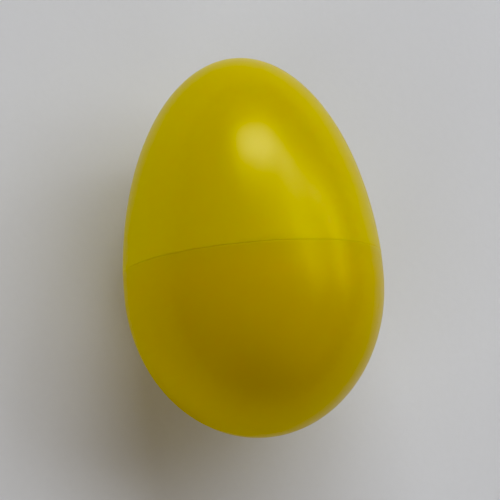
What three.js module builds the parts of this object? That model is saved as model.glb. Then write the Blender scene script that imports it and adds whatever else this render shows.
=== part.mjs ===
// Egg shaker: a hollow plastic egg, moulded as two shells that are glued together round a loose
// fill of steel shot. Units are millimetres and +Z is up. The egg lies on its side, as on a table:
// +X runs along its long axis towards the narrow tip, and the origin is on the table, under the
// middle of its length.
//
// Along the long axis a "station" is a distance from the widest section, positive towards the
// narrow tip. An "inset" is a depth below the outside surface.

import * as THREE from "three";

// Outside shape: two half ellipses of revolution that meet at the widest section.
const MAX_RADIUS = 20;
const BLUNT_LENGTH = 1.175 * MAX_RADIUS;
const NARROW_LENGTH = 1.79 * MAX_RADIUS;

// Shells: the blunt shell's tongue slides into a rebate inside the narrow shell's rim, and a low
// snap ring on the tongue sits in a groove of the rebate and holds them while the glue sets.
const WALL = 2;
const SEAM_STATION = 3.2;
const FIT_GAP = 0.3;
const TONGUE_LENGTH = 3.6;
const SNAP_HEIGHT = 0.2;
const SNAP_CREST = 0.6;
const SNAP_RAMP = 0.5;

// Fill: round steel shot, settled in one layer on the floor of the chamber.
const SHOT_RADIUS = 1.75;
const SHOT_GAP = 0.3;
const SHOT_WALL_GAP = 0.4;
const FILL_DEPTH = 12.5; // from the egg's axis down to the centres of the highest shot

// Colours: the rounder shell is moulded from a slightly deeper batch of the same yellow.
const BLUNT_YELLOW = 0xccae08;
const NARROW_YELLOW = 0xd6be08;
const STEEL_GREY = 0xb4b6b8;

// Facets: turns around the axis, steps along each quarter of an outline, and splits of a shot's edges.
const TURNS = 60;
const OUTSIDE_STEPS = 16;
const INSIDE_STEPS = 9;
const NEAR_SEAM_STEPS = 2;
const SHOT_DETAIL = 2;

// Worked out from the dimensions above.
const WIDEST_X = (BLUNT_LENGTH - NARROW_LENGTH) / 2;
const AXIS_HEIGHT = MAX_RADIUS;
const REBATE_INSET = (WALL - FIT_GAP) / 2;
const TONGUE_INSET = REBATE_INSET + FIT_GAP;
const SNAP_STATION = SEAM_STATION + TONGUE_LENGTH / 2;

function satinPlastic(name, color) {
  return new THREE.MeshStandardMaterial({ name, color, roughness: 0.4, metalness: 0 });
}

function bareSteel(name, color) {
  return new THREE.MeshStandardMaterial({ name, color, roughness: 0.3, metalness: 1 });
}

// Length of the half ellipse that a station is on, at an inset.
function halfLength(station, inset) {
  return (station < 0 ? BLUNT_LENGTH : NARROW_LENGTH) - inset;
}

// Radius of the surface at an inset, at a station.
function radiusAt(station, inset) {
  const share = station / halfLength(station, inset);
  return (MAX_RADIUS - inset) * Math.sqrt(Math.max(0, 1 - share * share));
}

// Points along one half ellipse at an inset, from one station to another, evenly spread in its angle.
function arc(inset, from, to, steps) {
  const half = halfLength(from + to, inset);
  const start = Math.acos(from / half);
  const end = Math.acos(to / half);
  return Array.from({ length: steps + 1 }, (_, step) => {
    const station = half * Math.cos(THREE.MathUtils.lerp(start, end, step / steps));
    return new THREE.Vector2(radiusAt(station, inset), station);
  });
}

// Points along a face of the joint, with a snap ring or its groove half way along the tongue.
function jointFace(inset, from, to) {
  const point = (station, rise) => new THREE.Vector2(radiusAt(station, inset) + rise, station);
  const crest = SNAP_CREST / 2;
  return [
    point(from, 0),
    point(SNAP_STATION - crest - SNAP_RAMP, 0),
    point(SNAP_STATION - crest, SNAP_HEIGHT),
    point(SNAP_STATION + crest, SNAP_HEIGHT),
    point(SNAP_STATION + crest + SNAP_RAMP, 0),
    point(to, 0),
  ];
}

// Turns runs of outline points into a solid of revolution, leaving out points that repeat.
function turned(name, material, ...runs) {
  const isNew = (point, index, points) => index === 0 || point.distanceTo(points[index - 1]) > 1e-6;
  const outline = runs.flat().filter(isNew);
  const mesh = new THREE.Mesh(new THREE.LatheGeometry(outline, TURNS), material);
  mesh.name = name;
  return mesh;
}

// The rounder half, with the tongue: outside from the tip to the rim, then inside back to the tip.
function bluntShell() {
  const rim = SEAM_STATION - FIT_GAP / 2;
  const tongueEnd = SEAM_STATION + TONGUE_LENGTH;
  return turned(
    "blunt_shell",
    satinPlastic("blunt_yellow", BLUNT_YELLOW),
    arc(0, -BLUNT_LENGTH, 0, OUTSIDE_STEPS),
    arc(0, 0, rim, NEAR_SEAM_STEPS),
    jointFace(TONGUE_INSET, rim, tongueEnd),
    arc(WALL, tongueEnd, 0, NEAR_SEAM_STEPS),
    arc(WALL, 0, WALL - BLUNT_LENGTH, INSIDE_STEPS),
  );
}

// The longer half, with the rebate: inside from the tip to the rim, then outside back to the tip.
function narrowShell() {
  const rim = SEAM_STATION + FIT_GAP / 2;
  const rebateEnd = SEAM_STATION + TONGUE_LENGTH + FIT_GAP;
  return turned(
    "narrow_shell",
    satinPlastic("narrow_yellow", NARROW_YELLOW),
    arc(WALL, NARROW_LENGTH - WALL, rebateEnd, INSIDE_STEPS),
    jointFace(REBATE_INSET, rim, rebateEnd).reverse(),
    arc(0, rim, NARROW_LENGTH, OUTSIDE_STEPS),
  );
}

// Centres of the settled shot, from the middle of the widest section: rows of a hexagonal layer,
// dropped onto the chamber's floor. Where the floor rises above the fill's level there is no shot.
function shotCentres() {
  const inset = WALL + SHOT_WALL_GAP + SHOT_RADIUS;
  const pitch = 2 * SHOT_RADIUS + SHOT_GAP;
  const rowPitch = pitch * Math.sin(Math.PI / 3);
  const rows = Math.ceil(MAX_RADIUS / rowPitch);
  const columns = Math.ceil(NARROW_LENGTH / pitch);
  const centres = [];
  for (let row = -rows; row <= rows; row++) {
    const y = row * rowPitch;
    const shift = row % 2 ? pitch / 2 : 0;
    for (let column = -columns; column <= columns; column++) {
      const x = column * pitch + shift;
      const depth = Math.sqrt(Math.max(0, radiusAt(x, inset) ** 2 - y ** 2));
      if (depth >= FILL_DEPTH) {
        centres.push(new THREE.Vector3(x, y, -depth));
      }
    }
  }
  return centres;
}

function shot(centre, index) {
  const ball = new THREE.IcosahedronGeometry(SHOT_RADIUS, SHOT_DETAIL);
  const mesh = new THREE.Mesh(ball, bareSteel("shot_steel", STEEL_GREY));
  mesh.name = `shot_${String(index + 1).padStart(2, "0")}`;
  mesh.position.copy(centre);
  return mesh;
}

const shells = new THREE.Group();
shells.rotation.z = -Math.PI / 2; // brings the axis that the outlines turn about, Y, onto +X
shells.add(bluntShell(), narrowShell());

const fill = new THREE.Group();
fill.add(...shotCentres().map(shot));

const eggShaker = new THREE.Group();
eggShaker.position.set(WIDEST_X, 0, AXIS_HEIGHT);
eggShaker.add(shells, fill);

export default eggShaker;
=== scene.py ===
# Egg shaker, as it looks: a satin yellow plastic egg in two glued shells, lying on a pale table, with
# its loose steel shot inside. Metres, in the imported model's frame: +X along the egg's long axis towards
# the narrow tip, +Z up, and the table at Z = 0.
#
# Along the long axis a "station" is a distance from the widest section, positive towards the narrow
# tip. An "inset" is a depth below the outside surface.
import math
import random

import bmesh
import bpy
from mathutils import Matrix, Vector


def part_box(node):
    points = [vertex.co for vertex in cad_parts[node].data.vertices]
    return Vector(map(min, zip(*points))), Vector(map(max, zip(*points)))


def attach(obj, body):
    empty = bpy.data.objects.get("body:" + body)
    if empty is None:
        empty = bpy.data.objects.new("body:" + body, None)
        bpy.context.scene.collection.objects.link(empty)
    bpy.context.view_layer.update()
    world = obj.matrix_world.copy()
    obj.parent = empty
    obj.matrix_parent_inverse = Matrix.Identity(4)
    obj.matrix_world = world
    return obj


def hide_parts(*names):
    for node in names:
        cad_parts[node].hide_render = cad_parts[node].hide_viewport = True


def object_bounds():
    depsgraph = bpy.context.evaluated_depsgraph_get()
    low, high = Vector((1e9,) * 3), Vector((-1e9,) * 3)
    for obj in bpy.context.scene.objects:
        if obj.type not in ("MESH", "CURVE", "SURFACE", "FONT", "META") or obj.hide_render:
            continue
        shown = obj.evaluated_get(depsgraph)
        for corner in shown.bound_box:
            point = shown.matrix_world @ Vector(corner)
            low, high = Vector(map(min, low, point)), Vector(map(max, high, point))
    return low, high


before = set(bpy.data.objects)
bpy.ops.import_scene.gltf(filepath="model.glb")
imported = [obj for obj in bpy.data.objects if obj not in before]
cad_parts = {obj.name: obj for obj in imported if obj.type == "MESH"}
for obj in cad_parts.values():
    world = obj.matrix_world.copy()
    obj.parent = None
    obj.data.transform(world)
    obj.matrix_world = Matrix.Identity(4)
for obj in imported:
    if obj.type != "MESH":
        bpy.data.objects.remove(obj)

cad_low, cad_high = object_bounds()
MM = 0.001

# The egg's size and places, from the frame and from the blunt half's length in radii.
BLUNT_PROPORTION = 1.175
LENGTH = cad_high.x - cad_low.x
MAX_RADIUS = (cad_high.z - cad_low.z) / 2
BLUNT_LENGTH = BLUNT_PROPORTION * MAX_RADIUS
NARROW_LENGTH = LENGTH - BLUNT_LENGTH
WIDEST = Vector((cad_low.x + BLUNT_LENGTH, 0, cad_low.z + MAX_RADIUS))
TONGUE_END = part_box("blunt_shell")[1].x - WIDEST.x

# The joint between the shells, as in the CAD: a tongue in a rebate, with a snap ring half way along it.
WALL = 2 * MM
FIT_GAP = 0.3 * MM
TONGUE_LENGTH = 3.6 * MM
SEAM_STATION = TONGUE_END - TONGUE_LENGTH
REBATE_INSET = (WALL - FIT_GAP) / 2
TONGUE_INSET = REBATE_INSET + FIT_GAP
SNAP_HEIGHT = 0.2 * MM
SNAP_CREST = 0.6 * MM
SNAP_RAMP = 0.5 * MM
SNAP_STATION = SEAM_STATION + TONGUE_LENGTH / 2

# What shows of the joint: a hairline on a slight ridge, with the narrow shell's lip a trifle proud. A flare
# is a lip's rise above the egg's own curve, and falls to about a third in each flare length from the lip.
HAIRLINE = 0.004 * MM
LIP_ROUND = 0.012 * MM
CORNER_ROUND = 0.12 * MM
NARROW_FLARE = 0.08 * MM
BLUNT_FLARE = 0.05 * MM
FLARE_LENGTH = 4 * MM

# Fineness of the shells. An outline has a corner where it turns by more than CORNER_ANGLE degrees, and two
# places closer than SAME_PLACE are one.
TURNS = 192
HALF_STEPS = 44
SEAM_STEPS = 8
CORNER_STEPS = 4
CORNER_ANGLE = 15
SAME_PLACE = 1e-7

# The shot's shape, for a radius of 1. The flats are at most FLAT_DEPTH deep and at least SHALLOWEST_FLAT of
# that, and can only reach places within FLAT_FACING's cosine of their middle. A wave turns by WAVE_TURN
# radians in one radius along its own direction.
SHOT_SUBDIVISIONS = 3
SHOT_FLATS = 14
FLAT_DEPTH = 0.008
SHALLOWEST_FLAT = 0.2
FLAT_FACING = 0.5
SHOT_WAVES = 3
WAVE_TURN = 3
WAVE_HEIGHT = 0.006

# The two yellows, each as its own colour, a deeper one for its clouds, and its colour by the rim: painted
# shade that darkens the blunt shell and painted light that pales the narrow one towards the step at the
# joint. Right at the joint both are a trace paler, painted light that offsets the light lost in the
# hairline.
BLUNT_YELLOWS = ((0.501, 0.368, 0.001), (0.481, 0.355, 0.001), (0.475, 0.363, 0.001))
NARROW_YELLOWS = ((0.512, 0.410, 0.001), (0.494, 0.395, 0.001), (0.522, 0.414, 0.001))
JOINT_PAINTED_LIGHT = (0.549, 0.424, 0.001)
PAINTED_RIM_FADE = 4 * MM
JOINT_LIGHT_FADE = 0.35 * MM

# The plastic. A size is across one feature of a noise pattern, which a squeeze below 1 draws out along that
# axis. Edges are the noise values between which a pattern goes from none to full.
CLOUD_SIZE = 14 * MM
CLOUD_EDGES = (0.3, 0.7)
SATIN_SIZE = 2.5 * MM
SATIN_ROUGHNESS = (0.28, 0.36)
SCUFF_SIZE = 0.5 * MM
SCUFF_SQUEEZES = ((0.1, 1, 1), (1, 0.12, 0.5))
SCUFF_EDGES = (0.64, 0.72)
SCUFF_PATCH_SIZE = 9 * MM
SCUFF_PATCH_EDGES = (0.5, 0.65)
SCUFF_ROUGHNESS = 0.10
SCUFF_HEIGHT = 0.003 * MM
SWELL_SIZE = 5 * MM
SWELL_HEIGHT = 0.03 * MM
GRAIN_SIZE = 0.25 * MM
GRAIN_HEIGHT = 0.004 * MM
GLOW_WEIGHT = 0.5
GLOW_SPREAD = (1.0, 0.55, 0.1)
GLOW_DEPTH = 1.5 * MM
PLASTIC_IOR = 1.57
GLOSS_TINT = (1, 1, 0.5, 1)

# The steel.
BRIGHT_STEEL = (0.50, 0.49, 0.47)
DULL_STEEL = (0.36, 0.35, 0.34)
DULLING_SIZE = 1.2 * MM
STEEL_SATIN_SIZE = 0.3 * MM
STEEL_ROUGHNESS = (0.22, 0.5)
PIT_SIZE = 0.15 * MM
PIT_HEIGHT = 0.004 * MM

# The table's card. It is slightly blue, because the picture's black level warms greys.
CARD_COLOURS = ((0.595, 0.617, 0.660), (0.615, 0.637, 0.681))
FIBRE_SIZE = 1.2 * MM
FIBRE_HEIGHT = 0.02 * MM
CARD_ROUGHNESS = 0.7


# Shape of the egg


def half_length(station, inset):
    """Length of the half ellipse that a station is on, at an inset."""
    return (BLUNT_LENGTH if station < 0 else NARROW_LENGTH) - inset


def radius_at(station, inset):
    """Radius of the surface at an inset, at a station."""
    share = station / half_length(station, inset)
    return (MAX_RADIUS - inset) * math.sqrt(max(0, 1 - share * share))


def arc(inset, start, end, steps):
    """Points along one half ellipse at an inset, between two stations, evenly spread in its angle."""
    middle = (start + end) / 2
    half = half_length(middle, inset)
    first = math.acos(start / half)
    last = math.acos(end / half)
    angles = [first + (last - first) * step / steps for step in range(steps + 1)]
    stations = [half * math.cos(angle) for angle in angles]
    return [(station, radius_at(station, inset)) for station in stations]


def joint_face(inset, start, end):
    """Points along a face of the joint, with a snap ring or its groove half way along the tongue."""
    crest = SNAP_CREST / 2
    rises = [
        (start, 0),
        (SNAP_STATION - crest - SNAP_RAMP, 0),
        (SNAP_STATION - crest, SNAP_HEIGHT),
        (SNAP_STATION + crest, SNAP_HEIGHT),
        (SNAP_STATION + crest + SNAP_RAMP, 0),
        (end, 0),
    ]
    return [(station, radius_at(station, inset) + rise) for station, rise in rises]


def flared(points, rim, flare):
    """Outside points raised towards a rim, by the whole flare at the rim itself."""
    def rise(station):
        return flare * math.exp(-abs(station - rim) / FLARE_LENGTH)
    return [(station, radius + rise(station)) for station, radius in points]


def rounded(points, radius_of):
    """An outline with its corners turned into arcs. radius_of(index, point) gives a radius, or 0."""
    out = []
    for i, point in enumerate(points):
        radius = radius_of(i, point) if 0 < i < len(points) - 1 else 0
        if not radius:
            out.append(point)
            continue
        here = Vector(point)
        before = (Vector(points[i - 1]) - here).normalized()
        after = (Vector(points[i + 1]) - here).normalized()
        half_angle = before.angle(after) / 2
        reach = radius / math.tan(half_angle)
        centre = here + (before + after).normalized() * radius / math.sin(half_angle)
        first = here + before * reach - centre
        last = here + after * reach - centre
        for step in range(CORNER_STEPS + 1):
            spoke = first.lerp(last, step / CORNER_STEPS).normalized() * radius
            out.append(tuple(centre + spoke))
    return out


def is_corner(points, i):
    """Whether an outline has a corner at a point."""
    before = Vector(points[i]) - Vector(points[i - 1])
    after = Vector(points[i + 1]) - Vector(points[i])
    return before.angle(after) > math.radians(CORNER_ANGLE)


def joined(*runs):
    """One outline from several runs of points, leaving out points that repeat."""
    out = []
    for point in (p for run in runs for p in run):
        if not out or (Vector(point) - Vector(out[-1])).length > SAME_PLACE:
            out.append(point)
    return out


def turned(name, outline):
    """A closed solid of revolution about the egg's long axis, where its outline starts and ends."""
    bm = bmesh.new()
    rings = []
    for station, radius in outline:
        x = WIDEST.x + station
        if radius < SAME_PLACE:
            rings.append([bm.verts.new((x, 0, WIDEST.z))])
            continue
        angles = [2 * math.pi * turn / TURNS for turn in range(TURNS)]
        ring = [(x, radius * math.sin(a), WIDEST.z + radius * math.cos(a)) for a in angles]
        rings.append([bm.verts.new(place) for place in ring])
    for ring, following in zip(rings, rings[1:]):
        for turn in range(TURNS):
            after = (turn + 1) % TURNS
            corners = [ring[turn % len(ring)], ring[after % len(ring)]]
            corners += [following[after % len(following)], following[turn % len(following)]]
            bm.faces.new(list(dict.fromkeys(corners)))
    bmesh.ops.recalc_face_normals(bm, faces=bm.faces)
    return finished(name, bm)


def finished(name, bm):
    """An object from a bmesh, shaded smooth."""
    mesh = bpy.data.meshes.new(name)
    for face in bm.faces:
        face.smooth = True
    bm.to_mesh(mesh)
    bm.free()
    piece = bpy.data.objects.new(name, mesh)
    bpy.context.scene.collection.objects.link(piece)
    return piece


def blunt_shell():
    """The rounder half, with the tongue: outside from the tip to the rim, then inside back to the tip."""
    rim = SEAM_STATION - HAIRLINE / 2
    outside = joined(arc(0, -BLUNT_LENGTH, 0, HALF_STEPS), arc(0, 0, rim, SEAM_STEPS))
    outside = outside[:1] + flared(outside[1:], rim, BLUNT_FLARE)
    outline = joined(
        outside,
        joint_face(TONGUE_INSET, rim, TONGUE_END),
        arc(WALL, TONGUE_END, 0, SEAM_STEPS),
        arc(WALL, 0, WALL - BLUNT_LENGTH, HALF_STEPS),
    )
    return turned("blunt_shell_moulding", softened(outline, outside[-1]))


def narrow_shell():
    """The longer half, with the rebate: inside from the tip to the rim, then outside back to the tip."""
    rim = SEAM_STATION + HAIRLINE / 2
    rebate_end = TONGUE_END + FIT_GAP
    outside = arc(0, rim, NARROW_LENGTH, HALF_STEPS)
    outside = flared(outside[:-1], rim, NARROW_FLARE) + outside[-1:]
    outline = joined(
        arc(WALL, NARROW_LENGTH - WALL, rebate_end, HALF_STEPS),
        reversed(joint_face(REBATE_INSET, rim, rebate_end)),
        outside,
    )
    return turned("narrow_shell_moulding", softened(outline, outside[0]))


def softened(outline, lip):
    """An outline with all its corners rounded, the visible lip more finely than the rest."""
    def radius_of(i, point):
        if not is_corner(outline, i):
            return 0
        return LIP_ROUND if point == lip else CORNER_ROUND
    return rounded(outline, radius_of)


def shot(node):
    """A tumbled steel ball where a CAD shot lies: slightly out of round, with flats knocked onto it."""
    low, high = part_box(node)
    radius = (high - low).length / 2 / math.sqrt(3)
    draw = random.Random(node)
    flats = [unit_vector(draw) for _ in range(SHOT_FLATS)]
    depths = [FLAT_DEPTH * draw.uniform(SHALLOWEST_FLAT, 1) for _ in flats]
    waves = [(unit_vector(draw), draw.uniform(0, 2 * math.pi)) for _ in range(SHOT_WAVES)]
    bm = bmesh.new()
    bmesh.ops.create_icosphere(bm, subdivisions=SHOT_SUBDIVISIONS, radius=1)
    for vert in bm.verts:
        way = vert.co.normalized()
        heights = [math.sin(WAVE_TURN * way.dot(wave) + phase) for wave, phase in waves]
        reach = 1 - WAVE_HEIGHT * (1 + sum(heights) / SHOT_WAVES)
        for flat, depth in zip(flats, depths):
            if way.dot(flat) > FLAT_FACING:
                reach = min(reach, (1 - WAVE_HEIGHT - depth) / way.dot(flat))
        vert.co = (low + high) / 2 + way * reach * radius
    return finished(node + "_ball", bm)


def unit_vector(draw):
    """A random direction."""
    return Vector([draw.gauss(0, 1) for _ in range(3)]).normalized()


# Materials


class Nodes:
    """A material's node tree, built by short calls."""

    def __init__(self, name):
        self.material = bpy.data.materials.new(name)
        self.material.use_nodes = True
        self.tree = self.material.node_tree
        self.shader = self.tree.nodes["Principled BSDF"]
        self.place = self.add("ShaderNodeTexCoord").outputs["Object"]

    def add(self, kind, **settings):
        node = self.tree.nodes.new(kind)
        for setting, value in settings.items():
            setattr(node, setting, value)
        return node

    def link(self, source, target):
        self.tree.links.new(source, target)

    def noise(self, size, detail=2, squeeze=(1, 1, 1)):
        """Noise from 0 to 1, with features about size metres across."""
        mapping = self.add("ShaderNodeMapping")
        mapping.inputs["Scale"].default_value = [share / size for share in squeeze]
        self.link(self.place, mapping.inputs["Vector"])
        noise = self.add("ShaderNodeTexNoise")
        noise.inputs["Scale"].default_value = 1
        noise.inputs["Detail"].default_value = detail
        self.link(mapping.outputs["Vector"], noise.inputs["Vector"])
        return noise.outputs["Fac"]

    def scaled(self, value, low, high, from_low=0.0, from_high=1.0):
        """value carried from one range to another, and kept inside it."""
        spread = self.add("ShaderNodeMapRange")
        ends = {"From Min": from_low, "From Max": from_high, "To Min": low, "To Max": high}
        for socket, number in ends.items():
            spread.inputs[socket].default_value = number
        self.link(value, spread.inputs["Value"])
        return spread.outputs["Result"]

    def mixed(self, factor, first, second):
        """A colour between two colours, or between a socket and a colour."""
        mix = self.add("ShaderNodeMix", data_type="RGBA")
        self.link(factor, mix.inputs["Factor"])
        # The node's colour sockets go by number, because they share their names with its other kinds.
        for socket, colour in ((mix.inputs[6], first), (mix.inputs[7], second)):
            if isinstance(colour, tuple):
                socket.default_value = (*colour, 1)
            else:
                self.link(colour, socket)
        return mix.outputs[2]

    def combined(self, operation, first, second):
        """Two values put together by a Math node's operation, and kept from 0 to 1."""
        math_node = self.add("ShaderNodeMath", operation=operation, use_clamp=True)
        self.link(first, math_node.inputs[0])
        self.link(second, math_node.inputs[1])
        return math_node.outputs["Value"]

    def summed(self, first, second):
        return self.combined("ADD", first, second)

    def multiplied(self, first, second):
        return self.combined("MULTIPLY", first, second)

    def bump(self, height, distance, normal=None):
        """A normal that follows a height from 0 to 1, which stands for distance metres."""
        bump = self.add("ShaderNodeBump")
        bump.inputs["Strength"].default_value = 1
        bump.inputs["Distance"].default_value = distance
        self.link(height, bump.inputs["Height"])
        if normal is not None:
            self.link(normal, bump.inputs["Normal"])
        return bump.outputs["Normal"]

    def set(self, **values):
        """Numbers and colours that are the same all over, on the shader's own sockets."""
        for socket, value in values.items():
            self.shader.inputs[socket.replace("_", " ")].default_value = value


def satin_plastic(name, colour, deep_colour, rim_painted_tone):
    """Moulded yellow plastic, slightly translucent, with a fine satin grain and light scuffs."""
    nodes = Nodes(name)
    cloud = nodes.scaled(nodes.noise(CLOUD_SIZE, detail=3), 0, 1, *CLOUD_EDGES)
    clouded = nodes.mixed(cloud, colour, deep_colour)
    # Towards the seam each shell goes to its rim colour: painted shade on the blunt shell and painted light
    # on the narrow one, from the step at the joint.
    rim_painted = nodes.mixed(by_seam(nodes, PAINTED_RIM_FADE), clouded, rim_painted_tone)
    # Right at the seam both shells go to a paler yellow. This is painted light that offsets the light lost
    # in the hairline.
    joint_painted_light = nodes.mixed(by_seam(nodes, JOINT_LIGHT_FADE), rim_painted, JOINT_PAINTED_LIGHT)
    nodes.link(joint_painted_light, nodes.shader.inputs["Base Color"])
    satin = nodes.scaled(nodes.noise(SATIN_SIZE, detail=4), *SATIN_ROUGHNESS)
    scuffs = scuff_marks(nodes)
    scuffed = nodes.summed(satin, nodes.scaled(scuffs, 0, SCUFF_ROUGHNESS))
    nodes.link(scuffed, nodes.shader.inputs["Roughness"])
    swell = nodes.bump(nodes.noise(SWELL_SIZE, detail=1), SWELL_HEIGHT)
    grain = nodes.bump(nodes.noise(GRAIN_SIZE, detail=2), GRAIN_HEIGHT, swell)
    nodes.link(nodes.bump(scuffs, SCUFF_HEIGHT, grain), nodes.shader.inputs["Normal"])
    nodes.set(Subsurface_Weight=GLOW_WEIGHT, Subsurface_Radius=GLOW_SPREAD, Subsurface_Scale=GLOW_DEPTH)
    nodes.set(IOR=PLASTIC_IOR, Specular_Tint=GLOSS_TINT)
    return nodes.material


def by_seam(nodes, width):
    """How near the seam a place is: 1 at the seam, and 0 from a width away on either side."""
    apart = nodes.add("ShaderNodeSeparateXYZ")
    nodes.link(nodes.place, apart.inputs["Vector"])
    seam = WIDEST.x + SEAM_STATION
    before = nodes.scaled(apart.outputs["X"], 0, 1, seam - width, seam)
    after = nodes.scaled(apart.outputs["X"], 1, 0, seam, seam + width)
    return nodes.multiplied(before, after)


def scuff_marks(nodes):
    """Sparse fine scratches, in two directions, from 0 to 1."""
    marks = [
        nodes.scaled(nodes.noise(SCUFF_SIZE, detail=2, squeeze=squeeze), 0, 1, *SCUFF_EDGES)
        for squeeze in SCUFF_SQUEEZES
    ]
    patches = nodes.scaled(nodes.noise(SCUFF_PATCH_SIZE, detail=2), 0, 1, *SCUFF_PATCH_EDGES)
    return nodes.multiplied(nodes.summed(*marks), patches)


def tumbled_steel(name):
    """Bare steel, dulled and finely pitted by knocking."""
    nodes = Nodes(name)
    colour = nodes.mixed(nodes.noise(DULLING_SIZE, detail=3), BRIGHT_STEEL, DULL_STEEL)
    nodes.link(colour, nodes.shader.inputs["Base Color"])
    satin = nodes.scaled(nodes.noise(STEEL_SATIN_SIZE, detail=4), *STEEL_ROUGHNESS)
    nodes.link(satin, nodes.shader.inputs["Roughness"])
    nodes.link(nodes.bump(nodes.noise(PIT_SIZE, detail=3), PIT_HEIGHT), nodes.shader.inputs["Normal"])
    nodes.set(Metallic=1.0)
    return nodes.material


def table_paper(name):
    """Pale matt card, with a faint tooth."""
    nodes = Nodes(name)
    fibre = nodes.noise(FIBRE_SIZE, detail=4)
    nodes.link(nodes.mixed(fibre, *CARD_COLOURS), nodes.shader.inputs["Base Color"])
    nodes.link(nodes.bump(fibre, FIBRE_HEIGHT), nodes.shader.inputs["Normal"])
    nodes.set(Roughness=CARD_ROUGHNESS)
    return nodes.material


# The stage: table, light and camera. Directions are seen from above the egg: an azimuth of 0 is towards
# the narrow tip, and 90 is towards -Y, which is the right of the picture. Angles are in degrees.

# The table reaches this far from its middle, and every softbox is this far from the egg.
TABLE_REACH = 0.65
SOFTBOX_DISTANCE = 0.7
BACKDROP = (0.5, 0.51, 0.53)

# The camera leans towards the blunt end by the tilt and to the left by the sway, and its picture is turned
# so that the narrow tip leans to the left. The frame's width is measured through the middle of the widest
# section, and the aim goes from there to the picture's middle.
VIEW_TILT = 10
VIEW_SWAY = 15
IMAGE_TURN = 5.1
CAMERA_DISTANCE = 0.32
FRAME_WIDTH = 77.0 * MM
AIM_RIGHT = -0.61 * MM
AIM_UP = 5.4 * MM
SENSOR_WIDTH = 36
BLACK_LEVEL = (0, 0.03, 0.07)


def direction(azimuth, elevation):
    """A unit vector away from the egg."""
    around, up = math.radians(azimuth), math.radians(elevation)
    return Vector((math.cos(around) * math.cos(up), -math.sin(around) * math.cos(up), math.sin(up)))


def table_top():
    """The pale card that the egg lies on."""
    bm = bmesh.new()
    bmesh.ops.create_grid(bm, x_segments=1, y_segments=1, size=TABLE_REACH)
    table = finished("table_top", bm)
    table.data.materials.append(table_paper("table_paper"))


def softbox(name, azimuth, elevation, size, strength, turn=0, glossy=True):
    """A rectangular white light aimed at the egg. Two of one strength light the egg alike, whatever their
    sizes. turn rolls the rectangle, in degrees, and a light that isn't glossy shows in no reflection."""
    data = bpy.data.lights.new(name, "AREA")
    data.shape = "RECTANGLE"
    data.size, data.size_y = size
    data.energy = math.pi * SOFTBOX_DISTANCE**2 * strength
    light = bpy.data.objects.new(name, data)
    away = direction(azimuth, elevation)
    light.rotation_mode = "QUATERNION"
    aim = away.to_track_quat("Z", "Y")
    light.rotation_quaternion = aim @ Matrix.Rotation(math.radians(turn), 3, "Z").to_quaternion()
    light.location = WIDEST + away * SOFTBOX_DISTANCE
    light.visible_camera = False
    light.visible_glossy = glossy
    bpy.context.scene.collection.objects.link(light)


def lights():
    """A window's soft daylight from the upper right, and light bounced back from the other sides."""
    softbox("window_core", 0, 40, (0.39, 0.18), 0.65)
    softbox("window_core_left", 355, 40, (0.25, 0.14), 0.40, turn=-10)
    softbox("window_core_right", 20, 38, (0.25, 0.12), 0.35, turn=10)
    softbox("window_edge_high", 46, 37, (0.32, 0.10), 0.35, turn=30)
    softbox("window_edge_low", 65, 25, (0.32, 0.10), 0.15, turn=55)
    softbox("window_high", 40, 60, (0.70, 0.22), 0.45)
    softbox("window_side", 60, 50, (0.62, 0.20), 0.55)
    softbox("window_far", 75, 25, (0.38, 0.12), 0.25)
    softbox("window_right", 85, 20, (0.24, 0.12), 0.10)
    softbox("room_side", 105, 50, (0.50, 0.30), 0.05)
    softbox("bounce_left", 295, 5, (0.50, 0.18), 0.85, glossy=False)
    softbox("bounce_low_left", 230, 25, (0.45, 0.25), 0.80, glossy=False)
    softbox("bounce_below", 175, 40, (0.45, 0.25), 0.20, glossy=False)
    softbox("bounce_low", 150, 20, (0.40, 0.20), 0.50, glossy=False)


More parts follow.
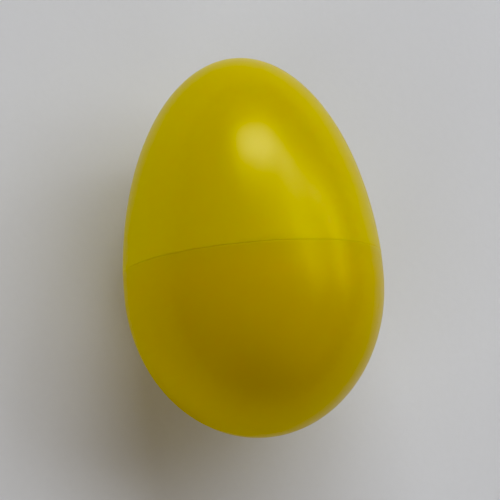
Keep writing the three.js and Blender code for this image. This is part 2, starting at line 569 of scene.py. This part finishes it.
def backdrop():
    """A pale grey behind the table, which only the camera sees and which gives no light."""
    world = bpy.data.worlds.new("room")
    world.use_nodes = True
    world.node_tree.nodes["Background"].inputs["Color"].default_value = (*BACKDROP, 1)
    for ray in ("diffuse", "glossy", "transmission", "scatter"):
        setattr(world.cycles_visibility, ray, False)
    bpy.context.scene.world = world


def camera():
    """Down onto the egg, from a little to the blunt end's side and to the left, with the narrow tip up."""
    tilt, turn = math.radians(VIEW_TILT), math.radians(IMAGE_TURN)
    back = Vector((-math.sin(tilt), 0, math.cos(tilt)))
    along = Vector((math.cos(tilt), 0, math.sin(tilt)))
    across = Vector((0, -1, 0))
    up = along * math.cos(turn) + across * math.sin(turn)
    right = across * math.cos(turn) - along * math.sin(turn)
    sway = Matrix.Rotation(math.radians(-VIEW_SWAY), 3, "X")
    right, up, back = (sway @ way for way in (right, up, back))
    place = WIDEST + right * AIM_RIGHT + up * AIM_UP + back * CAMERA_DISTANCE
    data = bpy.data.cameras.new("camera")
    data.sensor_width = SENSOR_WIDTH
    data.lens = SENSOR_WIDTH * CAMERA_DISTANCE / FRAME_WIDTH
    seen_from = bpy.data.objects.new("camera", data)
    seen_from.matrix_world = Matrix.Translation(place) @ Matrix((right, up, back)).transposed().to_4x4()
    bpy.context.scene.collection.objects.link(seen_from)
    bpy.context.scene.camera = seen_from


def picture_tone():
    """Plain colour, with a black level that deepens a saturated yellow and warms greys a little."""
    view = bpy.context.scene.view_settings
    view.view_transform = "Standard"
    view.use_curve_mapping = True
    view.curve_mapping.black_level = BLACK_LEVEL


def shells():
    """Both shells, in the places of the CAD's."""
    for piece, node, slot, yellows in (
        (blunt_shell(), "blunt_shell", "blunt_yellow", BLUNT_YELLOWS),
        (narrow_shell(), "narrow_shell", "narrow_yellow", NARROW_YELLOWS),
    ):
        piece.data.materials.append(satin_plastic(slot, *yellows))
        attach(piece, "shells")
        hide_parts(node)


def fill():
    """Every shot, in the place of the CAD's."""
    steel = tumbled_steel("shot_steel")
    for node in sorted(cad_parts):
        if node.startswith("shot_"):
            ball = shot(node)
            ball.data.materials.append(steel)
            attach(ball, node)
            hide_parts(node)


picture_tone()
table_top()
lights()
backdrop()
camera()
shells()
fill()
